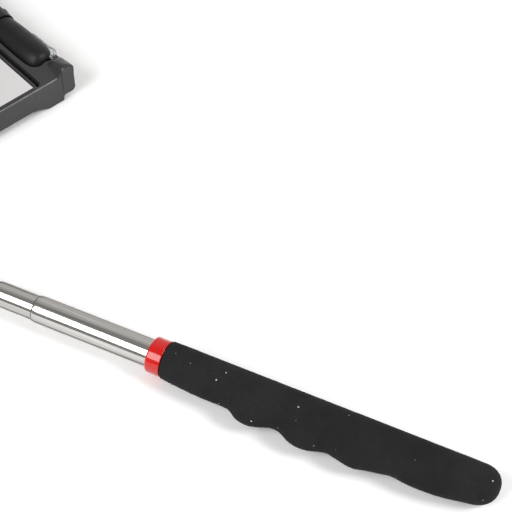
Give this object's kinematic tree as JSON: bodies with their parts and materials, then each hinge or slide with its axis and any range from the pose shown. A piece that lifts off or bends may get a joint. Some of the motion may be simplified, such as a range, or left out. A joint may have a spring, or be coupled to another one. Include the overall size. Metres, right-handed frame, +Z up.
{
  "type": "telescoping inspection mirror",
  "caption": "Telescoping inspection mirror: ribbed foam grip, red collar, sliding steel mast, double ball joint and a rectangular mirror head with a turning lamp barrel.",
  "frame": {"origin": "centre of the bounding box's bottom face, on the surface that the tool lies on", "axes": "+X along the mast towards the grip's butt, +Z up from the surface, +Y to the side that the head is folded to"},
  "size_m": [0.3325, 0.1547, 0.0174],
  "materials": {
    "grip_foam": "matte foam rubber with a fine closed-cell texture",
    "collar_red": "glossy red plastic",
    "stainless": "drawn stainless tube, satin to polished",
    "plated_steel": "bright plated steel",
    "brass": "plain brass",
    "head_plastic": "satin charcoal plastic",
    "barrel_plastic": "semi-gloss black plastic",
    "mirror_silver": "silvered glass",
    "pad_foam": "grey foam tape",
    "lens_clear": "clear plastic",
    "circuit_green": "green circuit laminate",
    "soft_black": "black rubber"
  },
  "bodies": {
    "handle": {"foam_grip": "grip_foam", "red_collar": "collar_red", "tube_1": "stainless", "tube_end_plug": "brass"},
    "mast_2": {"tube_2": "stainless", "slide_bush_2": "brass"},
    "mast_3": {"tube_3": "stainless", "slide_bush_3": "brass"},
    "mast_4": {"tube_4": "stainless", "slide_bush_4": "brass"},
    "mast_5": {"tube_5": "stainless", "slide_bush_5": "brass"},
    "mast_6": {"tube_6": "stainless", "slide_bush_6": "brass", "tip_plug": "brass"},
    "tip_stud": {"tip_ball_stud": "plated_steel"},
    "clamp_link": {"clamp_plate_upper": "plated_steel", "clamp_plate_lower": "plated_steel", "clamp_screw": "plated_steel", "clamp_nut": "plated_steel", "spring_washer": "plated_steel"},
    "head_stud": {"head_ball_stud": "plated_steel", "stud_clip": "plated_steel", "stud_washer": "plated_steel"},
    "mirror_head": {"head_housing": "head_plastic", "front_bezel": "head_plastic", "mirror_glass": "mirror_silver", "mirror_pad": "pad_foam", "back_cover": "head_plastic", "cover_screw_1": "plated_steel", "cover_screw_2": "plated_steel", "cover_screw_3": "plated_steel", "cover_screw_4": "plated_steel"},
    "lamp_barrel": {"lamp_shell_left": "barrel_plastic", "lamp_shell_right": "barrel_plastic", "centre_ring": "barrel_plastic", "lamp_lens_left": "lens_clear", "lamp_lens_right": "lens_clear", "led_left": "lens_clear", "led_right": "lens_clear", "circuit_board_left": "circuit_green", "circuit_board_right": "circuit_green", "switch_body": "barrel_plastic", "button_cell_1": "plated_steel", "button_cell_2": "plated_steel", "button_cell_3": "plated_steel", "contact_plate": "brass", "contact_spring": "plated_steel", "pivot_pin_left": "plated_steel", "pivot_pin_right": "plated_steel", "friction_ring_left": "soft_black", "friction_ring_right": "soft_black"},
    "lamp_switch": {"switch_button": "soft_black"}
  },
  "joints": [
    {"name": "mast_2_slide", "type": "slide", "parent": "handle", "child": "mast_2", "axis": [-1, 0, 0], "range_m": [-0.0133, 0.1197]},
    {"name": "mast_3_slide", "type": "slide", "parent": "mast_2", "child": "mast_3", "axis": [-1, 0, 0], "range_m": [-0.0168, 0.1082]},
    {"name": "mast_4_slide", "type": "slide", "parent": "mast_3", "child": "mast_4", "axis": [-1, 0, 0], "range_m": [-0.0168, 0.1002]},
    {"name": "mast_5_slide", "type": "slide", "parent": "mast_4", "child": "mast_5", "axis": [-1, 0, 0], "range_m": [-0.0168, 0.0922]},
    {"name": "mast_6_slide", "type": "slide", "parent": "mast_5", "child": "mast_6", "axis": [-1, 0, 0], "range_m": [-0.0168, 0.0842]},
    {"name": "tip_swivel", "type": "hinge", "parent": "mast_6", "child": "tip_stud", "pos_m": [-0.11378, -0.06477, 0.007], "axis": [1, 0, 0], "continuous": true},
    {"name": "lower_tilt", "type": "hinge", "parent": "tip_stud", "child": "clamp_link", "pos_m": [-0.11378, -0.06477, 0.007], "axis": [0, 0, -1], "range_deg": [-143, 7]},
    {"name": "upper_tilt", "type": "hinge", "parent": "clamp_link", "child": "head_stud", "pos_m": [-0.13026, -0.02398, 0.007], "axis": [0, 0, -1], "range_deg": [-119.8, 30.2]},
    {"name": "head_swivel", "type": "hinge", "parent": "head_stud", "child": "mirror_head", "pos_m": [-0.12445, -0.01015, 0.007], "axis": [0.3875, 0.9219, 0], "continuous": true},
    {"name": "lamp_turn", "type": "hinge", "parent": "mirror_head", "child": "lamp_barrel", "pos_m": [-0.09744, 0.0541, 0.0107], "axis": [0.9219, -0.3875, 0], "range_deg": [-20, 115]},
    {"name": "switch_press", "type": "slide", "parent": "lamp_barrel", "child": "lamp_switch", "axis": [-0.379, -0.9017, -0.2079], "range_m": [0, 0.0006], "stiffness_N_per_m": 1500}
  ]
}
